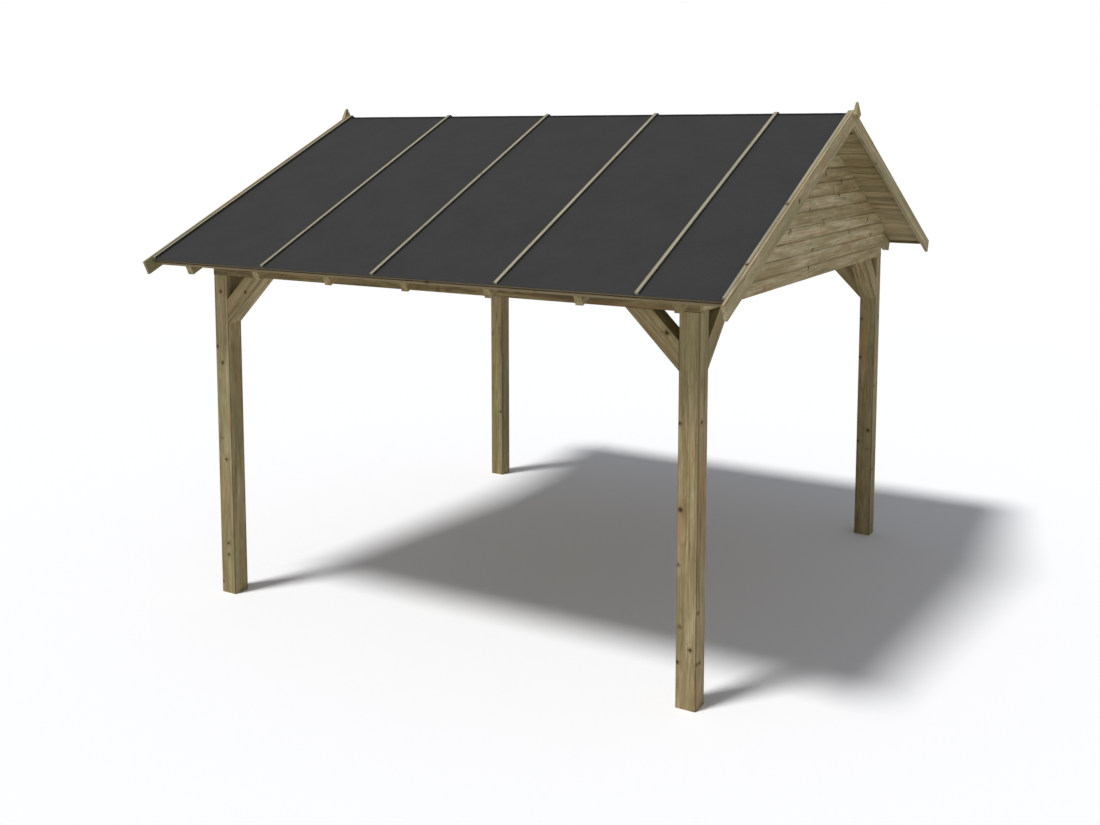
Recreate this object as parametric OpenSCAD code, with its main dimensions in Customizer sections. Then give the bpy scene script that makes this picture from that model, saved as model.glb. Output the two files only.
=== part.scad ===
// Garden pergola: four square posts under a double-pitch roof of boards and felt.
// The ridge runs along X and the front eave faces -Y. The origin is on the ground,
// below the middle of the roof. All sizes are in millimetres.

/* [Post frame] */
// Length of the post frame along the ridge, outside to outside
frame_len = 3500; // [3000:10:4400]
// Width of the post frame across the ridge, outside to outside
frame_wid = 3500; // [3000:10:4200]
// Side of a square post, of the braces and of the beams' width
post_w = 120; // [90:1:150]
// Height of the posts, which is the clear height below the beams
post_h = 2180; // [2000:10:2500]
// Height of the beams that lie on the posts
beam_h = 145; // [120:1:200]
// Distance from a post to where its brace meets the beam
brace_leg = 320; // [250:5:500]
// Width of a brace in its own plane
brace_w = 118; // [80:1:130]
// Radius of the eased edges of posts, beams and braces
edge_r = 6; // [2:1:14]

/* [Roof frame] */
// Pitch of both slopes, in degrees
roof_pitch = 25; // [18:1:30]
// Number of rafter pairs
rafter_pairs = 7; // [5:1:9]
// Thickness of a rafter
rafter_w = 48; // [35:1:60]
// Depth of a rafter, square to the slope
rafter_d = 85; // [75:1:110]
// Length of the rafters and roof boards down each slope, to their square-cut ends
slope_run = 2213; // [2180:1:2600]
// Depth that a rafter is notched over the outer edge of the beam
notch_d = 18; // [10:1:30]
// Thickness of the ridge board
ridge_w = 45; // [28:1:60]
// Depth of the ridge board
ridge_d = 120; // [110:1:160]
// Radius of the eased edges of rafters and boards
board_r = 3; // [1:0.5:5]

/* [Roof skin] */
// Distance that the roof boards stand out past the posts at each gable
gable_overhang = 258; // [150:1:400]
// Thickness of the roof boards
deck_t = 18; // [15:1:25]
// Cover width of one roof board
deck_board_w = 110; // [80:1:160]
// Depth of the V joint between two roof boards
deck_vee = 4; // [2:0.5:6]
// Thickness of the strip nailed along the ends of the roof boards at the eave
strip_t = 16; // [10:1:25]
// Height of that strip, which hangs a little below the boards
strip_h = 34; // [28:1:45]
// Distance that the upper part of the strip's face is set back
strip_step = 8; // [4:1:9]
// Height of that upper part, a little more than the boards' thickness
strip_step_h = 19; // [15:1:22]
// Thickness of the roofing felt
felt_t = 3; // [2:0.5:5]
// Distance that the felt runs past the eave strip
felt_past = 7; // [0:1:20]
// Width of a felt batten
batten_w = 26; // [20:1:50]
// Height of a felt batten
batten_h = 13; // [10:1:17]
// Distance from the felt's lower edge to the lower end of a batten
batten_margin = 8; // [0:1:100]
// Spacing of the battens that cover the felt seams
seam_pitch = 857; // [800:1:1000]
// Place of the first felt seam, measured from the left edge of the roof
first_seam = 954; // [850:1:1000]
// Width of the batten along each verge
verge_w = 18; // [14:1:30]
// Height of that batten
verge_h = 17; // [10:1:19]
// Gap between that batten and the bargeboard
verge_gap = 3; // [1:0.5:5]

/* [Gables] */
// Width of a bargeboard
barge_w = 94; // [80:1:115]
// Thickness of a bargeboard
barge_t = 20; // [18:1:30]
// Height of a bargeboard's top edge above the felt
barge_lift = 20; // [14:1:40]
// Distance that a bargeboard runs past the roof boards at the eave, along the slope
barge_past = 85; // [30:1:120]
// Height of each weatherboard that the next one up leaves showing
clad_pitch = 88; // [70:1:150]
// Thickness of a weatherboard
clad_t = 22; // [18:1:28]
// Depth of the hollow along a weatherboard's top, under the next one up
scoop_d = 6; // [3:1:10]
// Radius of that hollow
scoop_r = 20; // [14:1:40]
// Height of the lowest weatherboard's edge above the underside of the beam
clad_lift = 10; // [0:1:30]
// Distance that the weatherboards stop short of the corner at one end
clad_short = 35; // [0:1:60]
// Distance that the lowest weatherboard stops short of that corner
foot_short = 90; // [70:1:110]
// Width of the finial at its widest point
finial_w = 88; // [60:1:110]
// Thickness of the finial
finial_t = 29; // [20:1:40]
// Height of the finial's tip above the bargeboards' joint
finial_up = 47; // [30:1:120]
// Depth of the finial's widest point below the bargeboards' joint
finial_drop = 30; // [10:1:40]
// Depth of the finial below its widest point
finial_down = 28; // [20:1:50]
// Width of the finial's blunt tip
finial_tip = 12; // [6:1:20]

/* [Hidden] */

half_len = frame_len / 2;
half_wid = frame_wid / 2;
half_post = post_w / 2;
beam_top = post_h + beam_h;
rise = tan(roof_pitch);
// Height at which the top planes of the two rafter slopes meet
apex_z = beam_top - notch_d + half_wid * rise + rafter_d / cos(roof_pitch);
half_roof = half_len + gable_overhang;
rafter_step = (frame_len - rafter_w) / (rafter_pairs - 1);
felt_run = slope_run + strip_t + felt_past;
batten_run = felt_run - batten_margin;
// Heights above the rafters of the felt's top and of the bargeboards' top edge
felt_top = deck_t + felt_t;
barge_top = felt_top + barge_lift;
seam_count = floor((2 * half_roof - first_seam - batten_w * 2) / seam_pitch) + 1;
// Number of V joints in a slope, with at least a quarter board left at the ridge
deck_joints = floor((slope_run - deck_board_w / 4) / deck_board_w);
// Reach of the tools that cut pieces to a plane
reach = frame_len + frame_wid;

wood_post = "#8f8161";
wood_beam = "#948565";
wood_rafter = "#85775a";
wood_brace = "#8b7c5c";
wood_board = "#9a8b6a";
wood_trim = "#a89873";
felt_grey = "#454545";

// Rectangle centred on the origin whose four corners have radius r
module eased_rect(w, h, r) {
    union() {
        square([w - 2 * r, h], center = true);
        square([w, h - 2 * r], center = true);
        for (x = [-1, 1], y = [-1, 1])
            translate([x * (w / 2 - r), y * (h / 2 - r)])
                circle(r, $fn = 32);
    }
}

// Point of the back slope in the YZ plane: s runs down the slope, n stands off it
function slope_point(s, n) = [
    s * cos(roof_pitch) + n * sin(roof_pitch),
    apex_z - s * sin(roof_pitch) + n * cos(roof_pitch)
];

// Point on the ridge's middle plane at the height of a layer n above the rafters
function ridge_point(n) = [0, apex_z + n / cos(roof_pitch)];

// Puts children, drawn for the back slope, on the back (side 1) or front (side -1)
module on_slope(side) {
    mirror([0, side < 0 ? 1 : 0, 0])
        children();
}

// Extrudes a profile of the YZ plane along X from x0 to x1
module along_ridge(x0, x1) {
    translate([x0, 0, 0])
        rotate([90, 0, 90])
            linear_extrude(x1 - x0)
                children();
}

// Bar down the back slope: w wide along X, d deep from its top at n, from s0 to s1
module slope_bar(w, d, n, s0, s1) {
    translate([0, 0, apex_z])
        rotate([-roof_pitch, 0, 0])
            translate([0, s0, n - d / 2])
                rotate([-90, 0, 0])
                    linear_extrude(s1 - s0)
                        eased_rect(w, d, board_r);
}

// Block that trims a bar to the vertical plane y = y0, filling the side towards -Y
module ridge_trim(y0) {
    translate([-reach / 2, y0 - reach, 0])
        cube([reach, reach, reach]);
}

module post(x_side, y_side) {
    color(wood_post)
        translate([x_side * (half_len - half_post), y_side * (half_wid - half_post), 0])
            linear_extrude(post_h)
                eased_rect(post_w, post_w, edge_r);
}

// Beam along X on z = 0, halved over both posts: upper half cut away (1) or lower (-1)
module lapped_beam(length, half) {
    difference() {
        translate([0, 0, beam_h / 2])
            rotate([90, 0, 90])
                linear_extrude(length, center = true)
                    eased_rect(post_w, beam_h, edge_r);
        for (end = [-1, 1])
            translate([end * (length / 2 - half_post), 0, (1 + half) * beam_h / 2])
                cube([post_w, post_w, beam_h], center = true);
    }
}

module eave_beam(side) {
    color(wood_beam)
        translate([0, side * (half_wid - half_post), post_h])
            lapped_beam(frame_len, 1);
}

module tie_beam(side) {
    color(wood_beam)
        translate([side * (half_len - half_post), 0, post_h])
            rotate([0, 0, 90])
                lapped_beam(frame_wid, -1);
}

// Brace in the XZ plane of a post at the origin, rising from the post towards +X.
// The post's face is x = 0 and the beam's underside is z = 0.
module brace_blank() {
    middle = (brace_leg - brace_w / sqrt(2)) / 2;
    intersection() {
        translate([middle, 0, -middle])
            rotate([0, 45, 0])
                linear_extrude(2 * brace_leg, center = true)
                    eased_rect(brace_w, post_w, edge_r);
        translate([0, -post_w, -brace_leg])
            cube([brace_leg, 2 * post_w, brace_leg]);
    }
}

module eave_brace(x_side, y_side) {
    color(wood_brace)
        translate([x_side * (half_len - post_w), y_side * (half_wid - half_post), post_h])
            mirror([x_side > 0 ? 1 : 0, 0, 0])
                brace_blank();
}

module gable_brace(x_side, y_side) {
    color(wood_brace)
        translate([x_side * (half_len - half_post), y_side * (half_wid - post_w), post_h])
            mirror([0, y_side > 0 ? 1 : 0, 0])
                rotate([0, 0, 90])
                    brace_blank();
}

module ridge_board() {
    top = apex_z - ridge_w / 2 * rise;
    color(wood_rafter)
        translate([0, 0, top - ridge_d / 2])
            rotate([90, 0, 90])
                linear_extrude(frame_len, center = true)
                    eased_rect(ridge_w, ridge_d, board_r);
}

// Rafter number i, counted from the left gable, notched over its eave beam
module rafter(side, i) {
    x = -half_len + rafter_w / 2 + (i - 1) * rafter_step;
    color(wood_rafter)
        on_slope(side)
            translate([x, 0, 0])
                difference() {
                    slope_bar(rafter_w, rafter_d, 0, 0, slope_run);
                    ridge_trim(ridge_w / 2);
                    translate([-rafter_w, half_wid - post_w, post_h])
                        cube([2 * rafter_w, post_w, beam_h]);
                }
}

// Boards of one slope, with V joints between them on the underside
module roof_boards(side) {
    joints = [for (k = [1:deck_joints]) slope_run - k * deck_board_w];
    underside = [for (s = joints, p = [[s + deck_vee, 0], [s, deck_vee], [s - deck_vee, 0]])
        slope_point(p[0], p[1])];
    color(wood_board)
        on_slope(side)
            along_ridge(-half_roof, half_roof)
                polygon(concat(
                    [ridge_point(deck_t), slope_point(slope_run, deck_t), slope_point(slope_run, 0)],
                    underside,
                    [ridge_point(0)]
                ));
}

// Strip across the ends of the rafters and roof boards of one slope, rebated under the felt
module eave_strip(side) {
    end = slope_run + strip_t;
    shelf = deck_t - strip_step_h;
    low = deck_t - strip_h;
    color(wood_trim)
        on_slope(side)
            along_ridge(-half_roof, half_roof)
                polygon([slope_point(slope_run, deck_t), slope_point(end - strip_step, deck_t),
                         slope_point(end - strip_step, shelf), slope_point(end, shelf),
                         slope_point(end, low), slope_point(slope_run, low)]);
}

// Felt over one slope, from the ridge to just past the eave strip
module roof_felt(side) {
    color(felt_grey)
        on_slope(side)
            along_ridge(-half_roof, half_roof)
                polygon([ridge_point(felt_top), slope_point(felt_run, felt_top),
                         slope_point(felt_run, deck_t), ridge_point(deck_t)]);
}

// Batten down the felt of the back slope, centred on x, w wide and h high
module batten(x, w, h) {
    along_ridge(x - w / 2, x + w / 2)
        polygon([ridge_point(felt_top + h), slope_point(batten_run, felt_top + h),
                 slope_point(batten_run, felt_top), ridge_point(felt_top)]);
}

// Battens of one slope: one beside each bargeboard and one over each felt seam
module felt_battens(side) {
    color(wood_trim)
        on_slope(side) {
            for (end = [-1, 1])
                batten(end * (half_roof - verge_gap - verge_w / 2), verge_w, verge_h);
            for (k = [0:seam_count - 1])
                batten(-half_roof + first_seam + k * seam_pitch, batten_w, batten_h);
        }
}

// Board on the ends of the roof boards, mitred at the ridge
module bargeboard(x_side, y_side) {
    color(wood_trim)
        on_slope(y_side)
            translate([x_side * (half_roof + barge_t / 2), 0, 0])
                difference() {
                    slope_bar(barge_t, barge_w, barge_top, -barge_w, slope_run + barge_past);
                    ridge_trim(0);
                }
}

// End of one weatherboard, its top hollowed out under the edge of the next one up
module weatherboard_end() {
    difference() {
        square([clad_t, clad_pitch]);
        translate([clad_t - scoop_d + scoop_r, clad_pitch])
            circle(scoop_r, $fn = 64);
    }
}

// Weatherboards of one gable, cut to the underside of the roof boards.
// They stop short of one corner, which is the back one on the right gable.
module gable_cladding(side) {
    low = post_h + clad_lift;
    foot_top = low + clad_pitch;
    foot_end = half_wid - foot_short;
    end = half_wid - clad_short;
    courses = ceil((apex_z - low) / clad_pitch);
    color(wood_board)
        rotate([0, 0, side < 0 ? 180 : 0])
            translate([half_len, 0, 0])
                intersection() {
                    translate([0, half_wid, 0])
                        rotate([90, 0, 0])
                            linear_extrude(frame_wid)
                                for (k = [0:courses - 1])
                                    translate([0, low + k * clad_pitch])
                                        weatherboard_end();
                    along_ridge(0, clad_t)
                        polygon([[-half_wid, low], [foot_end, low], [foot_end, foot_top],
                                 [end, foot_top], [end, apex_z - end * rise],
                                 [0, apex_z], [-half_wid, apex_z - half_wid * rise]]);
                }
}

// Pointed finial over the joint of two bargeboards, tapered on all four sides
module finial(side) {
    color(wood_trim)
        mirror([side < 0 ? 1 : 0, 0, 0])
            translate([half_roof + barge_t, 0, 0])
                intersection() {
                    along_ridge(0, finial_t)
                        translate(ridge_point(barge_top))
                            polygon([[-finial_tip / 2, finial_up], [finial_tip / 2, finial_up],
                                     [finial_w / 2, -finial_drop], [0, -finial_drop - finial_down],
                                     [-finial_w / 2, -finial_drop]]);
                    translate([finial_t / 2, finial_w, ridge_point(barge_top)[1]])
                        rotate([90, 0, 0])
                            linear_extrude(2 * finial_w)
                                polygon([[-finial_tip / 2, finial_up], [finial_tip / 2, finial_up],
                                         [finial_t / 2, -finial_drop], [finial_t / 2, -finial_w],
                                         [-finial_t / 2, -finial_w], [-finial_t / 2, -finial_drop]]);
                }
}

post(-1, -1);  // post_front_left
post(1, -1);  // post_front_right
post(-1, 1);  // post_back_left
post(1, 1);  // post_back_right
eave_beam(-1);  // eave_beam_front
eave_beam(1);  // eave_beam_back
tie_beam(-1);  // tie_beam_left
tie_beam(1);  // tie_beam_right
eave_brace(-1, -1);  // brace_eave_front_left
eave_brace(1, -1);  // brace_eave_front_right
eave_brace(-1, 1);  // brace_eave_back_left
eave_brace(1, 1);  // brace_eave_back_right
gable_brace(-1, -1);  // brace_gable_front_left
gable_brace(1, -1);  // brace_gable_front_right
gable_brace(-1, 1);  // brace_gable_back_left
gable_brace(1, 1);  // brace_gable_back_right
ridge_board();
rafter(-1, 1);  // rafter_front_1
rafter(-1, 2);  // rafter_front_2
rafter(-1, 3);  // rafter_front_3
rafter(-1, 4);  // rafter_front_4
rafter(-1, 5);  // rafter_front_5
rafter(-1, 6);  // rafter_front_6
rafter(-1, 7);  // rafter_front_7
rafter(1, 1);  // rafter_back_1
rafter(1, 2);  // rafter_back_2
rafter(1, 3);  // rafter_back_3
rafter(1, 4);  // rafter_back_4
rafter(1, 5);  // rafter_back_5
rafter(1, 6);  // rafter_back_6
rafter(1, 7);  // rafter_back_7
roof_boards(-1);  // roof_boards_front
roof_boards(1);  // roof_boards_back
eave_strip(-1);  // eave_strip_front
eave_strip(1);  // eave_strip_back
roof_felt(-1);  // roof_felt_front
roof_felt(1);  // roof_felt_back
felt_battens(-1);  // felt_battens_front
felt_battens(1);  // felt_battens_back
bargeboard(-1, -1);  // bargeboard_front_left
bargeboard(1, -1);  // bargeboard_front_right
bargeboard(-1, 1);  // bargeboard_back_left
bargeboard(1, 1);  // bargeboard_back_right
gable_cladding(-1);  // gable_cladding_left
gable_cladding(1);  // gable_cladding_right
finial(-1);  // finial_left
finial(1);  // finial_right
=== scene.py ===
"""A garden pergola with a boarded, felted roof: its timber, roof felt and fixings.

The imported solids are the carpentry. This script gives each one the surface of the real stuff
it is made of, adds the felt folded over the ridge and the nails and screws that hold it all,
and sets up the studio around it.
"""
import math
import random

import bmesh
import bpy
from mathutils import Euler, Matrix, Vector


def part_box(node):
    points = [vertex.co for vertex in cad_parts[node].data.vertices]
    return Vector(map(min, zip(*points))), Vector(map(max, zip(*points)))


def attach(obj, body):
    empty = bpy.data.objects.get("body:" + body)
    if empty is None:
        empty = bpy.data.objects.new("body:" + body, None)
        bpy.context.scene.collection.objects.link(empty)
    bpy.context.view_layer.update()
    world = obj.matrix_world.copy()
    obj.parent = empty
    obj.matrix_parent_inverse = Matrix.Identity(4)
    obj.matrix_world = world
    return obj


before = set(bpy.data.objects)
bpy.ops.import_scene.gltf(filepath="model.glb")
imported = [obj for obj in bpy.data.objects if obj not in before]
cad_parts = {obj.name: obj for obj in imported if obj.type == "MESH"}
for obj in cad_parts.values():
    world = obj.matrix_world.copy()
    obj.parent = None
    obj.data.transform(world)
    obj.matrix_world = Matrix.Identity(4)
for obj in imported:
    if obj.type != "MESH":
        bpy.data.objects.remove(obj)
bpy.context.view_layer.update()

MM = 0.001
BODY = "root"
ROOF_PITCH = math.radians(25)
AXIS = {"x": Vector((1, 0, 0)), "y": Vector((0, 1, 0)), "z": Vector((0, 0, 1))}


def side_of(node):
    """-1 for what stands on the front half of the pergola, 1 for the back half."""
    return -1 if "front" in node else 1


def end_of(node):
    """-1 for what stands at the left gable, 1 for the right one."""
    return -1 if "left" in node else 1


def up_slope(node):
    """The way up the roof on that half."""
    return Vector((0, -side_of(node) * math.cos(ROOF_PITCH), math.sin(ROOF_PITCH)))


def off_slope(node):
    """Straight out of the roof's surface on that half."""
    return Vector((0, side_of(node) * math.sin(ROOF_PITCH), math.cos(ROOF_PITCH)))


def middle(node):
    """The middle of the box round a piece."""
    low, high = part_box(node)
    return (low + high) / 2


ridge_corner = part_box("ridge_board")[1]
APEX = ridge_corner.z + ridge_corner.y * math.tan(ROOF_PITCH)    # where the slopes would meet


# ---------------------------------------------------------------- shader nodes

def linear(code, alpha=1.0):
    """An sRGB hex colour as the linear values that a shader takes."""
    values = [int(code[i:i + 2], 16) / 255 for i in (1, 3, 5)]
    return [v / 12.92 if v <= 0.04045 else ((v + 0.055) / 1.055) ** 2.4 for v in values] + [alpha]


def add(tree, kind, inputs=None, stops=None, **settings):
    """Adds a node, with its settings, its colour stops, and its inputs as values or links."""
    node = tree.nodes.new("ShaderNode" + kind)
    for name, value in settings.items():
        setattr(node, name, value)
    for socket, value in (inputs or {}).items():
        if isinstance(value, bpy.types.NodeSocket):
            tree.links.new(value, node.inputs[socket])
        else:
            node.inputs[socket].default_value = value
    if stops:
        ramp = node.color_ramp
        while len(ramp.elements) < len(stops):
            ramp.elements.new(0.5)
        for element, (place, code) in zip(ramp.elements, stops):
            element.position, element.color = place, linear(code)
    return node


def new_material(name):
    """A material with nothing in it yet, and its tree of nodes."""
    material = bpy.data.materials.new(name)
    material.use_nodes = True
    material.node_tree.nodes.clear()
    return material, material.node_tree


# ---------------------------------------------------------------- timber

RING_GAP = 9 * MM          # fast-grown pine has 5 mm rings; drawn coarser so that they show
RING_WANDER = 26 * MM      # how far the rings stray from round
RING_STRAY = Vector((0.9, 7, 7))      # how often they stray, per metre
RING_TAPER = Vector((0.012, 1, 1))    # a trunk narrows slowly, so its rings drift off the grain
PITH_NEAR, PITH_FAR = 50, 110         # how deep the heart of the tree lies, in mm
FIBRE = 5 * MM             # bundles of fibres, drawn coarser than the real 1 mm
FIBRE_RUN = 160 * MM
BAND = 55 * MM             # broad streaks of lighter and darker wood
BAND_RUN = 800 * MM
BLOTCH = 30 * MM           # ragged patches where the saw and the rain roughened the wood
BLOTCH_RUN = 120 * MM
CLOUD = 300 * MM           # patches where the preservative took more or less
CLOUD_RUN = 600 * MM
WARM_STREAK = 34 * MM      # heartwood showing pink through the green
WARM_RUN = 625 * MM
CHECK_GAP = 45 * MM        # drying cracks, drawn 3 mm wide so that they show
CHECK_RUN = 1600 * MM
KNOT_CELL = 170 * MM       # one branch, on average, in a cube of this size
KNOT_SIZE = (3 * MM, 11 * MM)         # the smallest and the largest radius
KNOT_SOFT = 1.5 * MM       # how softly a knot's heart ends
KNOT_HALO = 16 * MM        # how far its stain reaches
KNOT_SWIRL = 34 * MM       # how far from it the grain bends round
BOARD_MOVES = (23, 0.11, 0.05)        # how far apart in the wood two boards were cut
BOARD_CONTRAST = 0.26
BATTEN_W = 26 * MM
SIDE_SHADE_OUT, SIDE_SHADE_IN = 4 * MM, 2 * MM      # how far from a batten's edge its painted shade fades

BAND_SHARE, BLOTCH_SHARE, FIBRE_SHARE, RING_SHARE = 1.3, 0.6, 0.4, 0.15
MIDDLE_SHADE = 0.58        # brings the sum of those to the middle of the range

PALE, SAPWOOD, MID, DEEP = "#BEB08E", "#A1916B", "#8A7954", "#605136"
# The last of these is the colour of the shade painted on the battens' sides and edges.
GREEN, WARM, SILVER, BATTEN_SHADE = "#7C7F57", "#A8764E", "#96968A", "#28251F"
KNOT_RIM, KNOT_HEART, CRACK = "#5C4620", "#3E2C14", "#33291A"
EARLY_WOOD, SUMMER_WOOD, LATE_WOOD = "#FFFFFF", "#E0E0E0", "#404040"


def cut_boards(tree, grain, width):
    """Gives each board of a boarded piece its own place in the wood. Returns the places, how
    far each point is off the middle of its board, and a random tone for the board."""
    row = add(tree, "SeparateXYZ", {0: grain}).outputs[1]
    row = add(tree, "Math", {0: row, 1: width}, operation="DIVIDE").outputs[0]
    row = add(tree, "Math", {0: row}, operation="FLOOR").outputs[0]
    back = add(tree, "Math", {0: row, 1: -width, 2: -width / 2},
               operation="MULTIPLY_ADD").outputs[0]
    back = add(tree, "CombineXYZ", {1: back}).outputs[0]
    centred = add(tree, "VectorMath", {0: grain, 1: back}, operation="ADD").outputs[0]
    off_middle = add(tree, "SeparateXYZ", {0: centred}).outputs[1]
    chance = add(tree, "TexWhiteNoise", {"W": row}, noise_dimensions="1D").outputs["Color"]
    moved = add(tree, "VectorMath", {0: chance, 1: BOARD_MOVES, 2: centred},
                operation="MULTIPLY_ADD").outputs[0]
    own_tone = add(tree, "SeparateXYZ", {0: chance}).outputs[2]
    return moved, off_middle, own_tone


def outside_knots(tree, here, place, knots):
    """How far each point is outside the nearest knot, be it a scattered or a given one."""
    cell = add(tree, "TexVoronoi", {"Vector": here, "Scale": 1 / KNOT_CELL})
    size = add(tree, "SeparateXYZ", {0: cell.outputs["Color"]}).outputs[0]
    size = add(tree, "MapRange", {0: size, 3: KNOT_SIZE[0], 4: KNOT_SIZE[1]}).outputs[0]
    outside = add(tree, "Math", {0: cell.outputs["Distance"], 1: KNOT_CELL},
                  operation="MULTIPLY").outputs[0]
    outside = add(tree, "Math", {0: outside, 1: size}, operation="SUBTRACT").outputs[0]
    for x, y, z, radius in knots:
        away = add(tree, "VectorMath", {0: place, 1: (x, y, z)}, operation="DISTANCE").outputs[1]
        away = add(tree, "Math", {0: away, 1: radius * MM}, operation="SUBTRACT").outputs[0]
        outside = add(tree, "Math", {0: outside, 1: away}, operation="MINIMUM").outputs[0]
    return outside


def annual_rings(tree, grain, here, pith, swirl):
    """Rings round the heart of the tree, straying a little from round and past the knots."""
    stray = add(tree, "VectorMath", {0: here, 1: RING_STRAY}, operation="MULTIPLY").outputs[0]
    stray = add(tree, "TexNoise", {"Vector": stray, "Scale": 1.0, "Detail": 2.0}).outputs["Color"]
    stray = add(tree, "VectorMath", {0: stray, 1: (0, RING_WANDER * 2, RING_WANDER * 2),
                                     2: pith - Vector((0, 1, 1)) * RING_WANDER},
                operation="MULTIPLY_ADD").outputs[0]
    ring = add(tree, "VectorMath", {0: grain, 1: RING_TAPER, 2: stray},
               operation="MULTIPLY_ADD").outputs[0]
    ring = add(tree, "VectorMath", {0: ring}, operation="LENGTH").outputs[1]
    ring = add(tree, "Math", {0: ring, 1: 1 / RING_GAP, 2: swirl},
               operation="MULTIPLY_ADD").outputs[0]
    ring = add(tree, "Math", {0: ring}, operation="FRACT").outputs[0]
    return add(tree, "ValToRGB", {0: ring}, [(0.0, EARLY_WOOD), (0.45, SUMMER_WOOD),
                                             (0.86, LATE_WOOD), (1.0, EARLY_WOOD)]).outputs[0]


def drawn_out(tree, here, run, width, **noise):
    """Noise drawn out along the grain, in streaks about as long as run and as wide as width."""
    place = add(tree, "VectorMath", {0: here, 1: (1 / run, 1 / width, 1 / width)},
                operation="MULTIPLY").outputs[0]
    return add(tree, "TexNoise", {"Vector": place, "Scale": 1.0, **noise}).outputs["Fac"]


def drying_cracks(tree, here, wide, depth):
    """Fine cracks along the grain, in the pale wood that dried fastest."""
    check = drawn_out(tree, here, CHECK_RUN, CHECK_GAP, Detail=1.0)
    check = add(tree, "Math", {0: check, 1: 0.5}, operation="SUBTRACT").outputs[0]
    check = add(tree, "Math", {0: check}, operation="ABSOLUTE").outputs[0]
    check = add(tree, "MapRange", {0: check, 1: 0.022, 2: 0.006, 4: depth}).outputs[0]
    dry = add(tree, "MapRange", {0: wide, 1: 0.47, 2: 0.56}).outputs[0]
    return add(tree, "Math", {0: check, 1: dry}, operation="MULTIPLY").outputs[0]


def painted_arris_shade(tree, facing, depth):
    """Painted shade where the surface turns from one face to the next: a dark line along each
    edge.
    """
    shaded_arris = add(tree, "Math", {0: facing[0], 1: facing[1]}, operation="MULTIPLY").outputs[0]
    shaded_arris = add(tree, "Math", {0: shaded_arris}, operation="ABSOLUTE").outputs[0]
    return add(tree, "MapRange", {0: shaded_arris, 1: 0.1, 2: 0.4, 4: depth}).outputs[0]


def painted_batten_shade(tree, sideways, off_middle, depth):
    """Painted shade on both sides of a batten and a little way over its edges."""
    side = add(tree, "Math", {0: sideways}, operation="ABSOLUTE").outputs[0]
    side = add(tree, "MapRange", {0: side, 1: 0.5, 2: 0.9, 4: depth}).outputs[0]
    edge = add(tree, "Math", {0: off_middle}, operation="ABSOLUTE").outputs[0]
    edge = add(tree, "Math", {0: edge, 1: BATTEN_W / 2}, operation="SUBTRACT").outputs[0]
    edge = add(tree, "Math", {0: edge}, operation="ABSOLUTE").outputs[0]
    edge = add(tree, "MapRange", {0: edge, 1: SIDE_SHADE_OUT, 2: SIDE_SHADE_IN, 4: depth}).outputs[0]
    return add(tree, "Math", {0: side, 1: edge}, operation="MAXIMUM").outputs[0]


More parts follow.
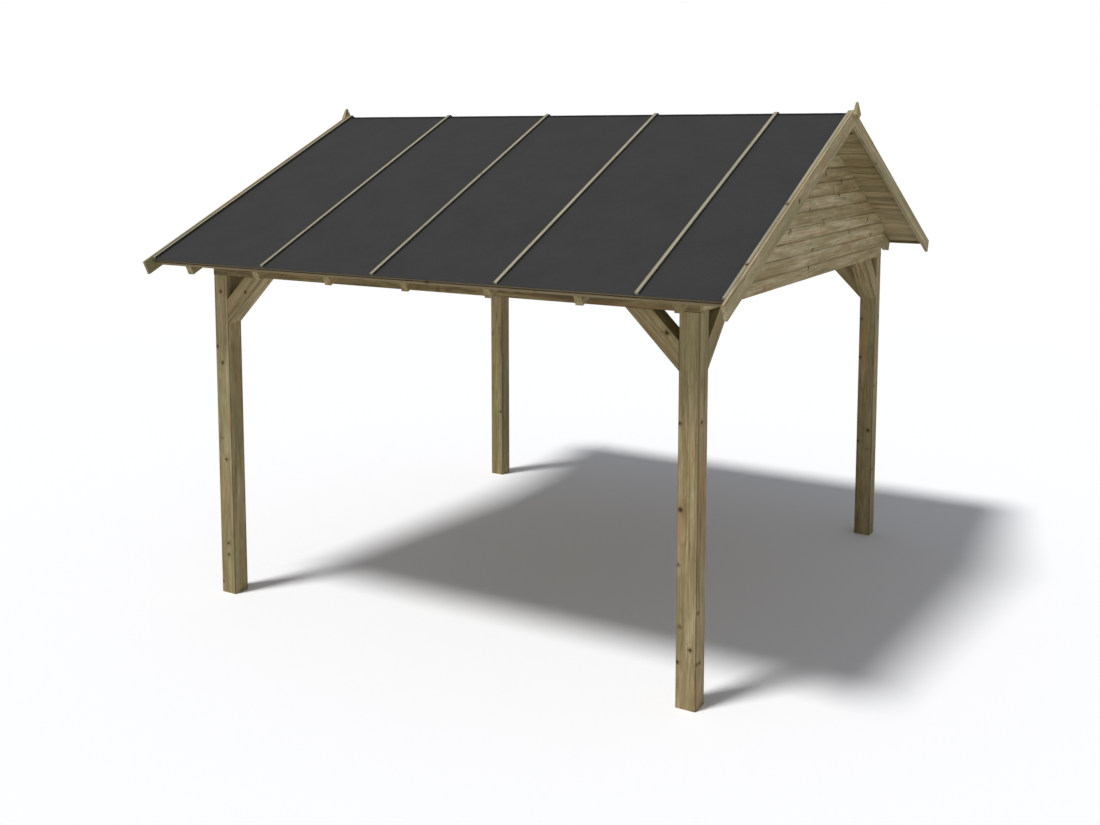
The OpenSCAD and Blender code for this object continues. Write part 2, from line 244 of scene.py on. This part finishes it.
def timber(node, along, across, start, boards=None, knots=(), tone=0.0, green=0.35, warm=0.5,
           silver=0.0, checks=0.45, arris_shade=0.8, side_shade=0.0, cut=""):
    """Pressure-treated pine, sawn and planed: soft streaks of pale and olive brown along the
    grain, annual rings on the cut ends, dark knots that the grain bends round, drying cracks,
    a dry surface.

    along and across are the grain's direction and the direction across the boards, start is
    where both are measured from, and boards is the width of each board in a boarded piece.
    tone lightens or darkens the wood, green and warm are how much of those tints it shows,
    silver is how far the sun has greyed it, checks is how dark its drying cracks are, the two
    after that are how dark the shade painted along its arrises is and how dark the shade
    painted on a batten's sides and over its edges is, and cut picks another cut of the log.
    """
    material, tree = new_material("treated_pine_" + node)
    rng = random.Random(node + cut)
    seed = Vector((rng.uniform(-9, 9), rng.uniform(-3, 3), rng.uniform(-3, 3)))
    pith = Vector((0, rng.uniform(-60, 60),
                   rng.choice((-1, 1)) * rng.uniform(PITH_NEAR, PITH_FAR))) * MM
    turn = Matrix((along, across, along.cross(across)))
    place = add(tree, "TexCoord").outputs["Object"]
    grain = add(tree, "Mapping", {"Vector": place, "Location": -(turn @ start),
                                  "Rotation": turn.to_euler()}).outputs[0]
    if boards:
        grain, off_middle, own_tone = cut_boards(tree, grain, boards)
    here = add(tree, "VectorMath", {0: grain, 1: seed}, operation="ADD").outputs[0]

    outside = outside_knots(tree, here, place, knots)
    swirl = add(tree, "MapRange", {0: outside, 1: KNOT_SWIRL, 2: 0.0},
                interpolation_type="SMOOTHSTEP").outputs[0]
    heart = add(tree, "MapRange", {0: outside, 1: KNOT_SOFT, 2: -KNOT_SOFT}).outputs[0]
    halo = add(tree, "MapRange", {0: outside, 1: KNOT_HALO, 2: 0.0, 4: 0.6},
               interpolation_type="SMOOTHSTEP").outputs[0]

    ring = annual_rings(tree, grain, here, pith, swirl)
    wide = drawn_out(tree, here, BAND_RUN, BAND, Detail=3.0, Roughness=0.6, Distortion=0.6)
    fine = drawn_out(tree, here, FIBRE_RUN, FIBRE, Detail=2.0)
    blotch = drawn_out(tree, here, BLOTCH_RUN, BLOTCH, Detail=3.0, Roughness=0.65, Distortion=0.8)
    layers = [(wide, BAND_SHARE), (blotch, BLOTCH_SHARE), (fine, FIBRE_SHARE), (ring, RING_SHARE)]
    shade = tone - MIDDLE_SHADE
    if boards:
        layers.append((own_tone, BOARD_CONTRAST))
        shade -= BOARD_CONTRAST / 2
    for layer, share in layers:
        shade = add(tree, "Math", {0: layer, 1: share, 2: shade},
                    operation="MULTIPLY_ADD").outputs[0]
    colour = add(tree, "ValToRGB", {0: shade},
                 [(0.08, DEEP), (0.42, MID), (0.66, SAPWOOD), (0.95, PALE)]).outputs[0]

    cloud = drawn_out(tree, here, CLOUD_RUN, CLOUD, Detail=2.0)
    cloud = add(tree, "MapRange", {0: cloud, 1: 0.42, 2: 0.66, 4: green},
                interpolation_type="SMOOTHSTEP").outputs[0]
    streak = drawn_out(tree, here, WARM_RUN, WARM_STREAK, Detail=1.0)
    streak = add(tree, "MapRange", {0: streak, 1: 0.6, 2: 0.76, 4: warm},
                 interpolation_type="SMOOTHSTEP").outputs[0]
    check = drying_cracks(tree, here, wide, checks)
    normal = add(tree, "NewGeometry").outputs["Normal"]
    facing = [add(tree, "VectorMath", {0: normal, 1: way}, operation="DOT_PRODUCT").outputs[1]
              for way in (across, along.cross(across))]
    # Painted shade: a dark line along the arrises.
    shaded_arris = painted_arris_shade(tree, facing, arris_shade)

    stains = [(cloud, GREEN), (streak, WARM), (check, CRACK), (silver, SILVER),
              (halo, KNOT_RIM), (heart, KNOT_HEART), (shaded_arris, DEEP)]
    # Painted shade on a batten's sides and along its edges.
    if side_shade:
        stains.append((painted_batten_shade(tree, facing[0], off_middle, side_shade), BATTEN_SHADE))
    for amount, code in stains:
        colour = add(tree, "Mix", {0: amount, 6: colour, 7: linear(code)},
                     data_type="RGBA").outputs[2]

    relief = add(tree, "Math", {0: fine, 1: 0.6, 2: ring}, operation="MULTIPLY_ADD").outputs[0]
    relief = add(tree, "Math", {0: check, 1: -2.0, 2: relief},
                 operation="MULTIPLY_ADD").outputs[0]
    bump = add(tree, "Bump", {"Height": relief, "Strength": 0.35,
                              "Distance": 0.7 * MM}).outputs[0]
    rough = add(tree, "MapRange", {0: fine, 3: 0.86, 4: 0.66}).outputs[0]
    surface = add(tree, "BsdfPrincipled", {"Base Color": colour, "Roughness": rough,
                                           "Specular IOR Level": 0.2, "Normal": bump})
    add(tree, "OutputMaterial", {"Surface": surface.outputs[0]})
    return material


# ---------------------------------------------------------------- roof felt

FELT_GREY, FELT_DARK, FELT_LIGHT = "#383837", "#343433", "#3B3B3A"
# The felt over the ridge is drawn about half as bright as the roof felt: painted shade, a dark
# line along the ridge.
SHADED_FOLD_GREY, SHADED_FOLD_DARK, SHADED_FOLD_LIGHT = "#1D1D1C", "#181817", "#222221"
GRANULE = 3 * MM           # mineral grit is 1 mm; drawn coarser so that it shows
FELT_MOTTLE = 240 * MM


def roof_felt(name, dark=FELT_DARK, grey=FELT_GREY, light=FELT_LIGHT):
    """Mineral-faced bitumen felt: an even charcoal with a fine grit and faint cloudy patches
    where the roll's grit lies thicker."""
    material, tree = new_material(name)
    place = add(tree, "TexCoord").outputs["Object"]
    grit = add(tree, "TexVoronoi", {"Vector": place, "Scale": 1 / GRANULE})
    speck = add(tree, "SeparateXYZ", {0: grit.outputs["Color"]}).outputs[0]
    patch = add(tree, "TexNoise", {"Vector": place, "Scale": 1 / FELT_MOTTLE,
                                   "Detail": 5.0, "Roughness": 0.6}).outputs["Fac"]
    shade = add(tree, "Math", {0: speck, 1: 0.55, 2: patch}, operation="MULTIPLY_ADD").outputs[0]
    colour = add(tree, "ValToRGB", {0: shade}, [(0.4, dark), (0.78, grey), (1.0, light)]
                 ).outputs[0]
    bump = add(tree, "Bump", {"Height": grit.outputs["Distance"], "Strength": 0.5,
                              "Distance": 0.8 * MM}, invert=True).outputs[0]
    surface = add(tree, "BsdfPrincipled", {"Base Color": colour, "Roughness": 0.95,
                                           "Specular IOR Level": 0.1, "Normal": bump})
    add(tree, "OutputMaterial", {"Surface": surface.outputs[0]})
    return material


# ---------------------------------------------------------------- finishes on the solids

DECK_BOARD = 110 * MM
DECK_RUN = 2213 * MM       # down the slope from the ridge to the roof boards' lower edge
CLAD_BOARD = 88 * MM
CLAD_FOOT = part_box("gable_cladding_right")[0].z
CLAD_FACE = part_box("gable_cladding_right")[1].x
CLAD_MIDDLE = 1760 * MM
UNDER_BOARD = 0.5 * MM     # so that a board's underside is its own wood, not the next one's
SEAM_PITCH = 857 * MM
FIRST_SEAM = -1054 * MM

LOOKS = {   # how each sub-part's wood differs from the common run
    "post_front_left": {"tone": -0.12, "green": 0.32, "warm": 0.6, "cut": "b"},
    "post_front_right": {"tone": -0.12, "green": 0.32, "warm": 0.6, "cut": "d"},
    "post_back_left": {"tone": -0.15, "green": 0.4, "cut": "e"},
    "post_back_right": {"tone": -0.13, "green": 0.4, "cut": "f"},
    # The eave beams' darker tone is partly their own wood and partly painted shade under the
    # eaves.
    "eave_beam": {"tone": -0.4, "green": 0.15},
    "tie_beam": {"tone": -0.1},
    "brace": {"tone": -0.16},
    "rafter": {"tone": -0.2},
    "roof_boards": {"tone": -0.14, "arris_shade": 0.3},
    "gable_cladding": {"tone": -0.02, "green": 0.15, "warm": 0.5, "checks": 0.3, "arris_shade": 0.0},
    # The eave strips' pale tone is painted light, standing in for sun on their faces.
    "eave_strip": {"tone": 0.45, "green": 0.2},
    "felt_battens": {"tone": -0.14, "silver": 0.55, "warm": 0.3, "checks": 0.0, "arris_shade": 0.3,
                     "side_shade": 0.85},
    "bargeboard_front_left": {"tone": -0.3, "green": 0.5, "silver": 0.1},
    "bargeboard": {"tone": -0.06, "silver": 0.08},
}
# The places of these knots were worked out by another program and rounded to a centimetre.
KNOTS = {   # x, y, z of each, and its radius in mm
    "post_front_left": [(-1.69, -1.75, 2.07, 8), (-1.69, -1.75, 1.59, 8),
                        (-1.68, -1.75, 0.93, 7), (-1.68, -1.75, 0.35, 7),
                        (-1.68, -1.75, 0.27, 7)],
    "post_front_right": [(1.64, -1.75, 1.58, 7), (1.65, -1.75, 1.11, 10),
                         (1.64, -1.75, 0.26, 7), (1.75, -1.71, 1.59, 8),
                         (1.75, -1.73, 0.55, 7), (1.75, -1.70, 0.26, 7)],
    "post_back_right": [(1.64, 1.63, 1.40, 7), (1.72, 1.63, 0.83, 7),
                        (1.64, 1.63, 0.74, 7), (1.75, 1.71, 1.71, 9),
                        (1.75, 1.66, 1.18, 9), (1.75, 1.66, 0.52, 9)],
    "brace_eave_front_left": [(-1.47, -1.75, 2.08, 7), (-1.34, -1.75, 2.11, 6)],
    "brace_eave_front_right": [(1.56, -1.75, 2.06, 9)],
    "brace_gable_front_right": [(1.75, -1.36, 2.09, 8)],
    "felt_battens_front": [(2.00, -1.14, 2.73, 9), (2.00, -1.74, 2.45, 9)],
    "gable_cladding_right": [(1.77, 0.07, 2.82, 9), (1.77, 0.26, 2.85, 8),
                             (1.77, 0.61, 2.79, 10), (1.77, 0.56, 2.70, 9),
                             (1.77, 0.24, 2.52, 7), (1.77, -0.60, 2.51, 10),
                             (1.77, -0.42, 2.52, 9), (1.77, 0.02, 2.37, 9),
                             (1.77, -0.06, 2.26, 9), (1.77, 1.37, 2.37, 9)],
}


def run_of_timber(node):
    """The grain's direction in a piece, and the direction across its widest face."""
    if node.startswith(("post", "finial")):
        return AXIS["z"], AXIS["x"]
    if node.startswith(("eave_beam", "ridge", "eave_strip")):
        return AXIS["x"], AXIS["z"]
    if node.startswith(("tie_beam", "gable_cladding")):
        return AXIS["y"], AXIS["z"]
    if node.startswith("brace_eave"):
        return (AXIS["z"] - end_of(node) * AXIS["x"]).normalized(), AXIS["y"]
    if node.startswith("brace_gable"):
        return (AXIS["z"] - side_of(node) * AXIS["y"]).normalized(), AXIS["x"]
    if node.startswith("roof_boards"):
        return AXIS["x"], up_slope(node)
    if node.startswith("felt_battens"):
        return up_slope(node), AXIS["x"]
    return up_slope(node), off_slope(node)


def finish_timber(node):
    """The timber that a piece is made of, with its own grain, boards, knots and tone."""
    along, across = run_of_timber(node)
    start, boards = middle(node), None
    if node.startswith("roof_boards"):
        start = Vector((0, 0, APEX)) - DECK_RUN * up_slope(node)
        boards = DECK_BOARD
    elif node.startswith("gable_cladding"):
        start = Vector((end_of(node) * CLAD_MIDDLE, 0, CLAD_FOOT - UNDER_BOARD))
        boards = CLAD_BOARD
    elif node.startswith("felt_battens"):
        start = Vector((FIRST_SEAM - SEAM_PITCH / 2, 0, APEX))
        boards = SEAM_PITCH
    look = next((look for piece, look in LOOKS.items() if node.startswith(piece)), {})
    return timber(node, along, across, start, boards, KNOTS.get(node, ()), **look)


for node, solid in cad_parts.items():
    finish = roof_felt(node) if node.startswith("roof_felt") else finish_timber(node)
    for slot in solid.material_slots:
        slot.material = finish


# ---------------------------------------------------------------- metal

ZINC, ZINC_DULL = "#8E9092", "#6C6B66"
SPANGLE = 2 * MM


def zinc(name):
    """Hot-dipped steel: a dull silver grey, spangled, going chalky in spots."""
    material, tree = new_material(name)
    place = add(tree, "TexCoord").outputs["Object"]
    flake = add(tree, "TexVoronoi", {"Vector": place, "Scale": 1 / SPANGLE})
    flake = add(tree, "SeparateXYZ", {0: flake.outputs["Color"]}).outputs[0]
    colour = add(tree, "ValToRGB", {0: flake}, [(0.0, ZINC_DULL), (1.0, ZINC)]).outputs[0]
    rough = add(tree, "MapRange", {0: flake, 3: 0.62, 4: 0.45}).outputs[0]
    surface = add(tree, "BsdfPrincipled", {"Base Color": colour, "Roughness": rough,
                                           "Metallic": 0.85})
    add(tree, "OutputMaterial", {"Surface": surface.outputs[0]})
    return material


# ---------------------------------------------------------------- pieces beside the solids

HALF_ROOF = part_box("roof_boards_front")[1].x
FELT_TOP, BATTEN_TOP, VERGE_TOP = 21 * MM, 34 * MM, 38 * MM
VERGE_W, VERGE_GAP = 18 * MM, 3 * MM
SEAMS = [FIRST_SEAM + k * SEAM_PITCH for k in range(4)]      # the battens between the verges
VERGE = HALF_ROOF - VERGE_GAP - VERGE_W / 2


def on_roof(side, x, down, off):
    """The point a distance down one slope from the ridge, and a distance off its rafters."""
    half = "front" if side < 0 else "back"
    return Vector((x, 0, APEX)) - down * up_slope(half) + off * off_slope(half)


def finished(name, mesh, finish):
    """Makes an object of a bmesh, in its finish, that belongs to the pergola."""
    data = bpy.data.meshes.new(name)
    mesh.to_mesh(data)
    mesh.free()
    data.materials.append(finish)
    piece = bpy.data.objects.new(name, data)
    bpy.context.scene.collection.objects.link(piece)
    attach(piece, BODY)
    return piece


def settle_faces(mesh):
    """Puts the faces in the order of their corners, since extruding leaves them in no fixed
    order and the mesh has to come out the same each time."""
    mesh.verts.index_update()
    faces = sorted(mesh.faces, key=lambda face: sorted(vertex.index for vertex in face.verts))
    rank = {face: place for place, face in enumerate(faces)}
    mesh.faces.sort(key=rank.get)


FOLD_HALF = 22 * MM
FOLD_THICK = 2.5 * MM
FOLD_SAG = 0.4 * MM
FOLD_STEPS = 16


def ridge_fold(finish):
    """The strip of felt bent over the ridge, laid between the battens."""
    rng = random.Random("ridge")
    ends = [-VERGE + (VERGE_W - BATTEN_W) / 2] + SEAMS + [VERGE - (VERGE_W - BATTEN_W) / 2]
    mesh = bmesh.new()
    for left, right in zip(ends, ends[1:]):
        span = right - left - BATTEN_W - MM
        centre = Vector(((left + right) / 2, 0, APEX + FELT_TOP / math.cos(ROOF_PITCH)))
        size = Matrix.Diagonal((span, 2 * FOLD_HALF * math.cos(ROOF_PITCH), 1, 1))
        strip = bmesh.ops.create_grid(mesh, x_segments=FOLD_STEPS, y_segments=2, size=0.5,
                                      matrix=Matrix.Translation(centre) @ size)["verts"]
        for vertex in strip:
            vertex.co.z -= abs(vertex.co.y) * math.tan(ROOF_PITCH)
        faces = list(dict.fromkeys(face for vertex in strip for face in vertex.link_faces))
        lifted = bmesh.ops.extrude_face_region(mesh, geom=faces)["geom"]
        for vertex in (part for part in lifted if isinstance(part, bmesh.types.BMVert)):
            vertex.co.z += FOLD_THICK + rng.uniform(-FOLD_SAG, FOLD_SAG)
    settle_faces(mesh)
    bmesh.ops.recalc_face_normals(mesh, faces=mesh.faces)
    return finished("ridge_felt_fold", mesh, finish)


HEAD_SIDES = 12
HEAD_TOP = 0.38            # radius of a head's flat top, as a share of its width
RECESS_IN, RECESS_DEEP = 0.2, 0.8     # a driver's recess, in from that top and into the head


def heads(name, spots, width, proud, drive, finish):
    """Nail or screw heads, each a domed disc on a point and square to a direction, with a
    recess for the driver where it is a screw."""
    mesh = bmesh.new()
    for point, way in spots:
        turn = way.to_track_quat("Z", "Y").to_matrix().to_4x4()
        place = Matrix.Translation(point + way.normalized() * proud / 2) @ turn
        disc = bmesh.ops.create_cone(mesh, cap_ends=True, segments=HEAD_SIDES,
                                     radius1=width / 2, radius2=width * HEAD_TOP, depth=proud,
                                     matrix=place)["verts"]
        top = max({face for vertex in disc for face in vertex.link_faces},
                  key=lambda face: face.calc_center_median().dot(way))
        if drive:
            bmesh.ops.inset_region(mesh, faces=[top], thickness=width * RECESS_IN,
                                   depth=-proud * RECESS_DEEP)
    return finished(name, mesh, finish)


CLOUT, CLOUT_PROUD = 8 * MM, 1 * MM
CLOUT_FIRST, CLOUT_STEP = 132 * MM, 330 * MM
SCREW, SCREW_PROUD = 9 * MM, 0.8 * MM
NAIL, NAIL_PROUD = 5 * MM, 0.5 * MM
PER_SLOPE = 7              # fixings down each batten and each bargeboard


def batten_nails(finish):
    """Clout nails down the middle of every batten."""
    rows = [(x, BATTEN_TOP) for x in SEAMS] + [(x, VERGE_TOP) for x in (-VERGE, VERGE)]
    spots = [(on_roof(side, x, CLOUT_FIRST + k * CLOUT_STEP, top), off_slope(half))
             for side, half in ((-1, "front"), (1, "back"))
             for x, top in rows for k in range(PER_SLOPE)]
    return heads("batten_nails", spots, CLOUT, CLOUT_PROUD, False, finish)


BARGE_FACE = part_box("bargeboard_front_right")[1].x
BARGE_SCREW_FIRST, BARGE_SCREW_STEP = 145 * MM, 290 * MM
BOARD_MIDDLE = 9 * MM


def bargeboard_screws(finish):
    """Screws through the bargeboards into the ends of the roof boards."""
    downs = [BARGE_SCREW_FIRST + k * BARGE_SCREW_STEP for k in range(PER_SLOPE)]
    spots = [(on_roof(side, end * BARGE_FACE, down, BOARD_MIDDLE), end * AXIS["x"])
             for side in (-1, 1) for end in (-1, 1) for down in downs]
    return heads("bargeboard_screws", spots, SCREW, SCREW_PROUD, True, finish)


NAILED_COURSES = 11
CLAD_NAIL_RISE = 22 * MM
RAFTER_NAIL_IN = 70 * MM
RAFTER_REACH = 1600 * MM   # the rafters come down to the beam at about this far out
TIE_NAILS = (-1.5, -0.9, -0.3, 0.3, 0.9, 1.5)


def cladding_nails(finish):
    """Nails through each weatherboard into the end rafters, and the lowest into the beam."""
    spots = []
    for end in (-1, 1):
        face = Vector((end * CLAD_FACE, 0, 0))
        for course in range(NAILED_COURSES):
            z = CLAD_FOOT + course * CLAD_BOARD + CLAD_NAIL_RISE
            reach = (APEX - z) / math.tan(ROOF_PITCH) - RAFTER_NAIL_IN
            rows = [y for y in (-reach, reach) if abs(y) < RAFTER_REACH] or TIE_NAILS
            spots += [(face + Vector((0, y, z)), end * AXIS["x"]) for y in rows]
    return heads("cladding_nails", spots, NAIL, NAIL_PROUD, False, finish)


POST_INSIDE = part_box("post_back_right")[0].x
POST_MIDDLE = middle("post_back_right").x
BRACE_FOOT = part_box("brace_eave_back_right")[0].z
BRACE_SCREWS = (48 * MM, 272 * MM)
BRACE_SCREW_APART = 30 * MM


def brace_screws(finish):
    """Screws up through the braces into the posts and beams, two at each end."""
    spots = []
    for x, y in ((-1, -1), (-1, 1), (1, -1), (1, 1)):
        for run in BRACE_SCREWS:
            for apart in (-BRACE_SCREW_APART, BRACE_SCREW_APART):
                inner, z = POST_INSIDE - run, BRACE_FOOT + run
                beside = POST_MIDDLE + apart
                spots.append((Vector((x * inner, y * beside, z)), Vector((-x, 0, -1))))
                spots.append((Vector((x * beside, y * inner, z)), Vector((0, -y, -1))))
    return heads("brace_screws", spots, SCREW, SCREW_PROUD, True, finish)


# The ridge felt's darker copy of the roof felt is painted shade.
shaded_fold_felt = roof_felt("folded_roof_felt_painted_shade", SHADED_FOLD_DARK, SHADED_FOLD_GREY, SHADED_FOLD_LIGHT)
galvanised = zinc("galvanised_steel")
ridge_fold(shaded_fold_felt)
for fixings in (batten_nails, bargeboard_screws, cladding_nails, brace_screws):
    fixings(galvanised)


# ---------------------------------------------------------------- studio

FLOOR_SIZE = 120.0
FLOOR_FADE = (8.0, 16.0)
SUN_WAY = Vector((0.23, 0.41, -1.0))
SUN_SPREAD = math.radians(11)
SUN_POWER = 2.6
SKY_POWER = 0.3
SKY_TINT = "#F0F5FF"
EYE_AT = (4.2400, -7.5808, 3.1081)
EYE_DOWN, EYE_TURN = 5.821, 30.2309
LENS, LENS_SHIFT = 39.823, -0.14


def floor():
    """A painted studio floor: near-white and matt, running out to plain white."""
    mesh = bmesh.new()
    bmesh.ops.create_grid(mesh, x_segments=1, y_segments=1, size=FLOOR_SIZE / 2)
    data = bpy.data.meshes.new("studio_floor")
    mesh.to_mesh(data)
    mesh.free()
    piece = bpy.data.objects.new("studio_floor", data)
    bpy.context.scene.collection.objects.link(piece)
    material, tree = new_material("white_floor_paint")
    place = add(tree, "TexCoord").outputs["Object"]
    reach = add(tree, "VectorMath", {0: place}, operation="LENGTH").outputs[1]
    reach = add(tree, "MapRange", {0: reach, 1: FLOOR_FADE[0], 2: FLOOR_FADE[1]},
                interpolation_type="SMOOTHSTEP").outputs[0]
    seen = add(tree, "LightPath").outputs["Is Camera Ray"]
    reach = add(tree, "Math", {0: reach, 1: seen}, operation="MULTIPLY").outputs[0]
    paint = add(tree, "BsdfDiffuse", {"Color": linear("#FDFDFD")}).outputs[0]
    white = add(tree, "Emission", {"Color": linear("#FFFFFF"), "Strength": 1.0}).outputs[0]
    mix = add(tree, "MixShader", {0: reach, 1: paint, 2: white}).outputs[0]
    add(tree, "OutputMaterial", {"Surface": mix})
    data.materials.append(material)


def sky():
    """Even light from all round, and plain white behind the pergola."""
    world = bpy.data.worlds.new("studio_light")
    world.use_nodes = True
    tree = world.node_tree
    tree.nodes.clear()
    rays = add(tree, "LightPath").outputs
    seen = add(tree, "Math", {0: rays["Is Camera Ray"], 1: rays["Is Glossy Ray"]},
               operation="MAXIMUM").outputs[0]
    seen = add(tree, "Math", {0: seen, 1: rays["Is Transmission Ray"]},
               operation="MAXIMUM").outputs[0]
    strength = add(tree, "MapRange", {0: seen, 3: SKY_POWER, 4: 1.0}).outputs[0]
    tint = add(tree, "Mix", {0: seen, 6: linear(SKY_TINT), 7: linear("#FFFFFF")},
               data_type="RGBA").outputs[2]
    light = add(tree, "Background", {"Color": tint, "Strength": strength}).outputs[0]
    add(tree, "OutputWorld", {"Surface": light})
    bpy.context.scene.world = world


def lamp():
    """One soft lamp, high up at the front left."""
    data = bpy.data.lights.new("key_lamp", "SUN")
    data.energy, data.angle = SUN_POWER, SUN_SPREAD
    key = bpy.data.objects.new("key_lamp", data)
    key.rotation_euler = SUN_WAY.to_track_quat("-Z", "Y").to_euler()
    bpy.context.scene.collection.objects.link(key)


def camera():
    """From beyond the front right corner, at the height of the roof."""
    data = bpy.data.cameras.new("camera")
    data.lens, data.shift_y = LENS, LENS_SHIFT
    eye = bpy.data.objects.new("camera", data)
    eye.location = EYE_AT
    eye.rotation_euler = Euler((math.radians(90 - EYE_DOWN), 0, math.radians(EYE_TURN)))
    bpy.context.scene.collection.objects.link(eye)
    bpy.context.scene.camera = eye


floor()
sky()
lamp()
camera()
bpy.context.scene.view_settings.view_transform = "Standard"
